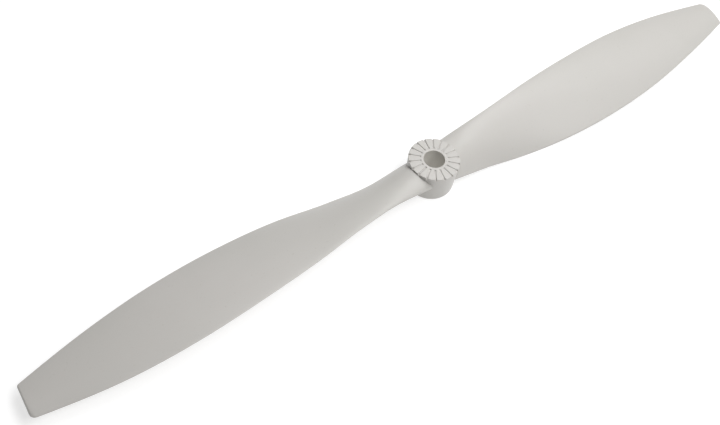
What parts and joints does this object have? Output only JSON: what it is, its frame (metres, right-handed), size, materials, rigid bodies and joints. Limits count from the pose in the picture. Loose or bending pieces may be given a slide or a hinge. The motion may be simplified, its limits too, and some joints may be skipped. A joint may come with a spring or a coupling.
{
  "type": "model aeroplane propeller",
  "caption": "Two-blade fixed-pitch model aeroplane propeller with a cylindrical hub, a radially grooved front face and twisted, cambered blades with squared tips.",
  "frame": {"origin": "centre of the shaft bore in the plane of the hub's flat rear face", "axes": "+Z along the shaft towards the grooved front face, +X from the hub to the tip of blade_a, +Y towards the leading edge of blade_a"},
  "size_m": [0.2538, 0.0254, 0.0098],
  "materials": {
    "hub_plastic": "light warm grey moulded nylon, satin",
    "blade_plastic": "light warm grey moulded nylon, satin"
  },
  "bodies": {
    "root": {"hub_barrel": "hub_plastic", "locking_face_ring": "hub_plastic", "blade_a": "blade_plastic", "blade_b": "blade_plastic"}
  },
  "joints": []
}
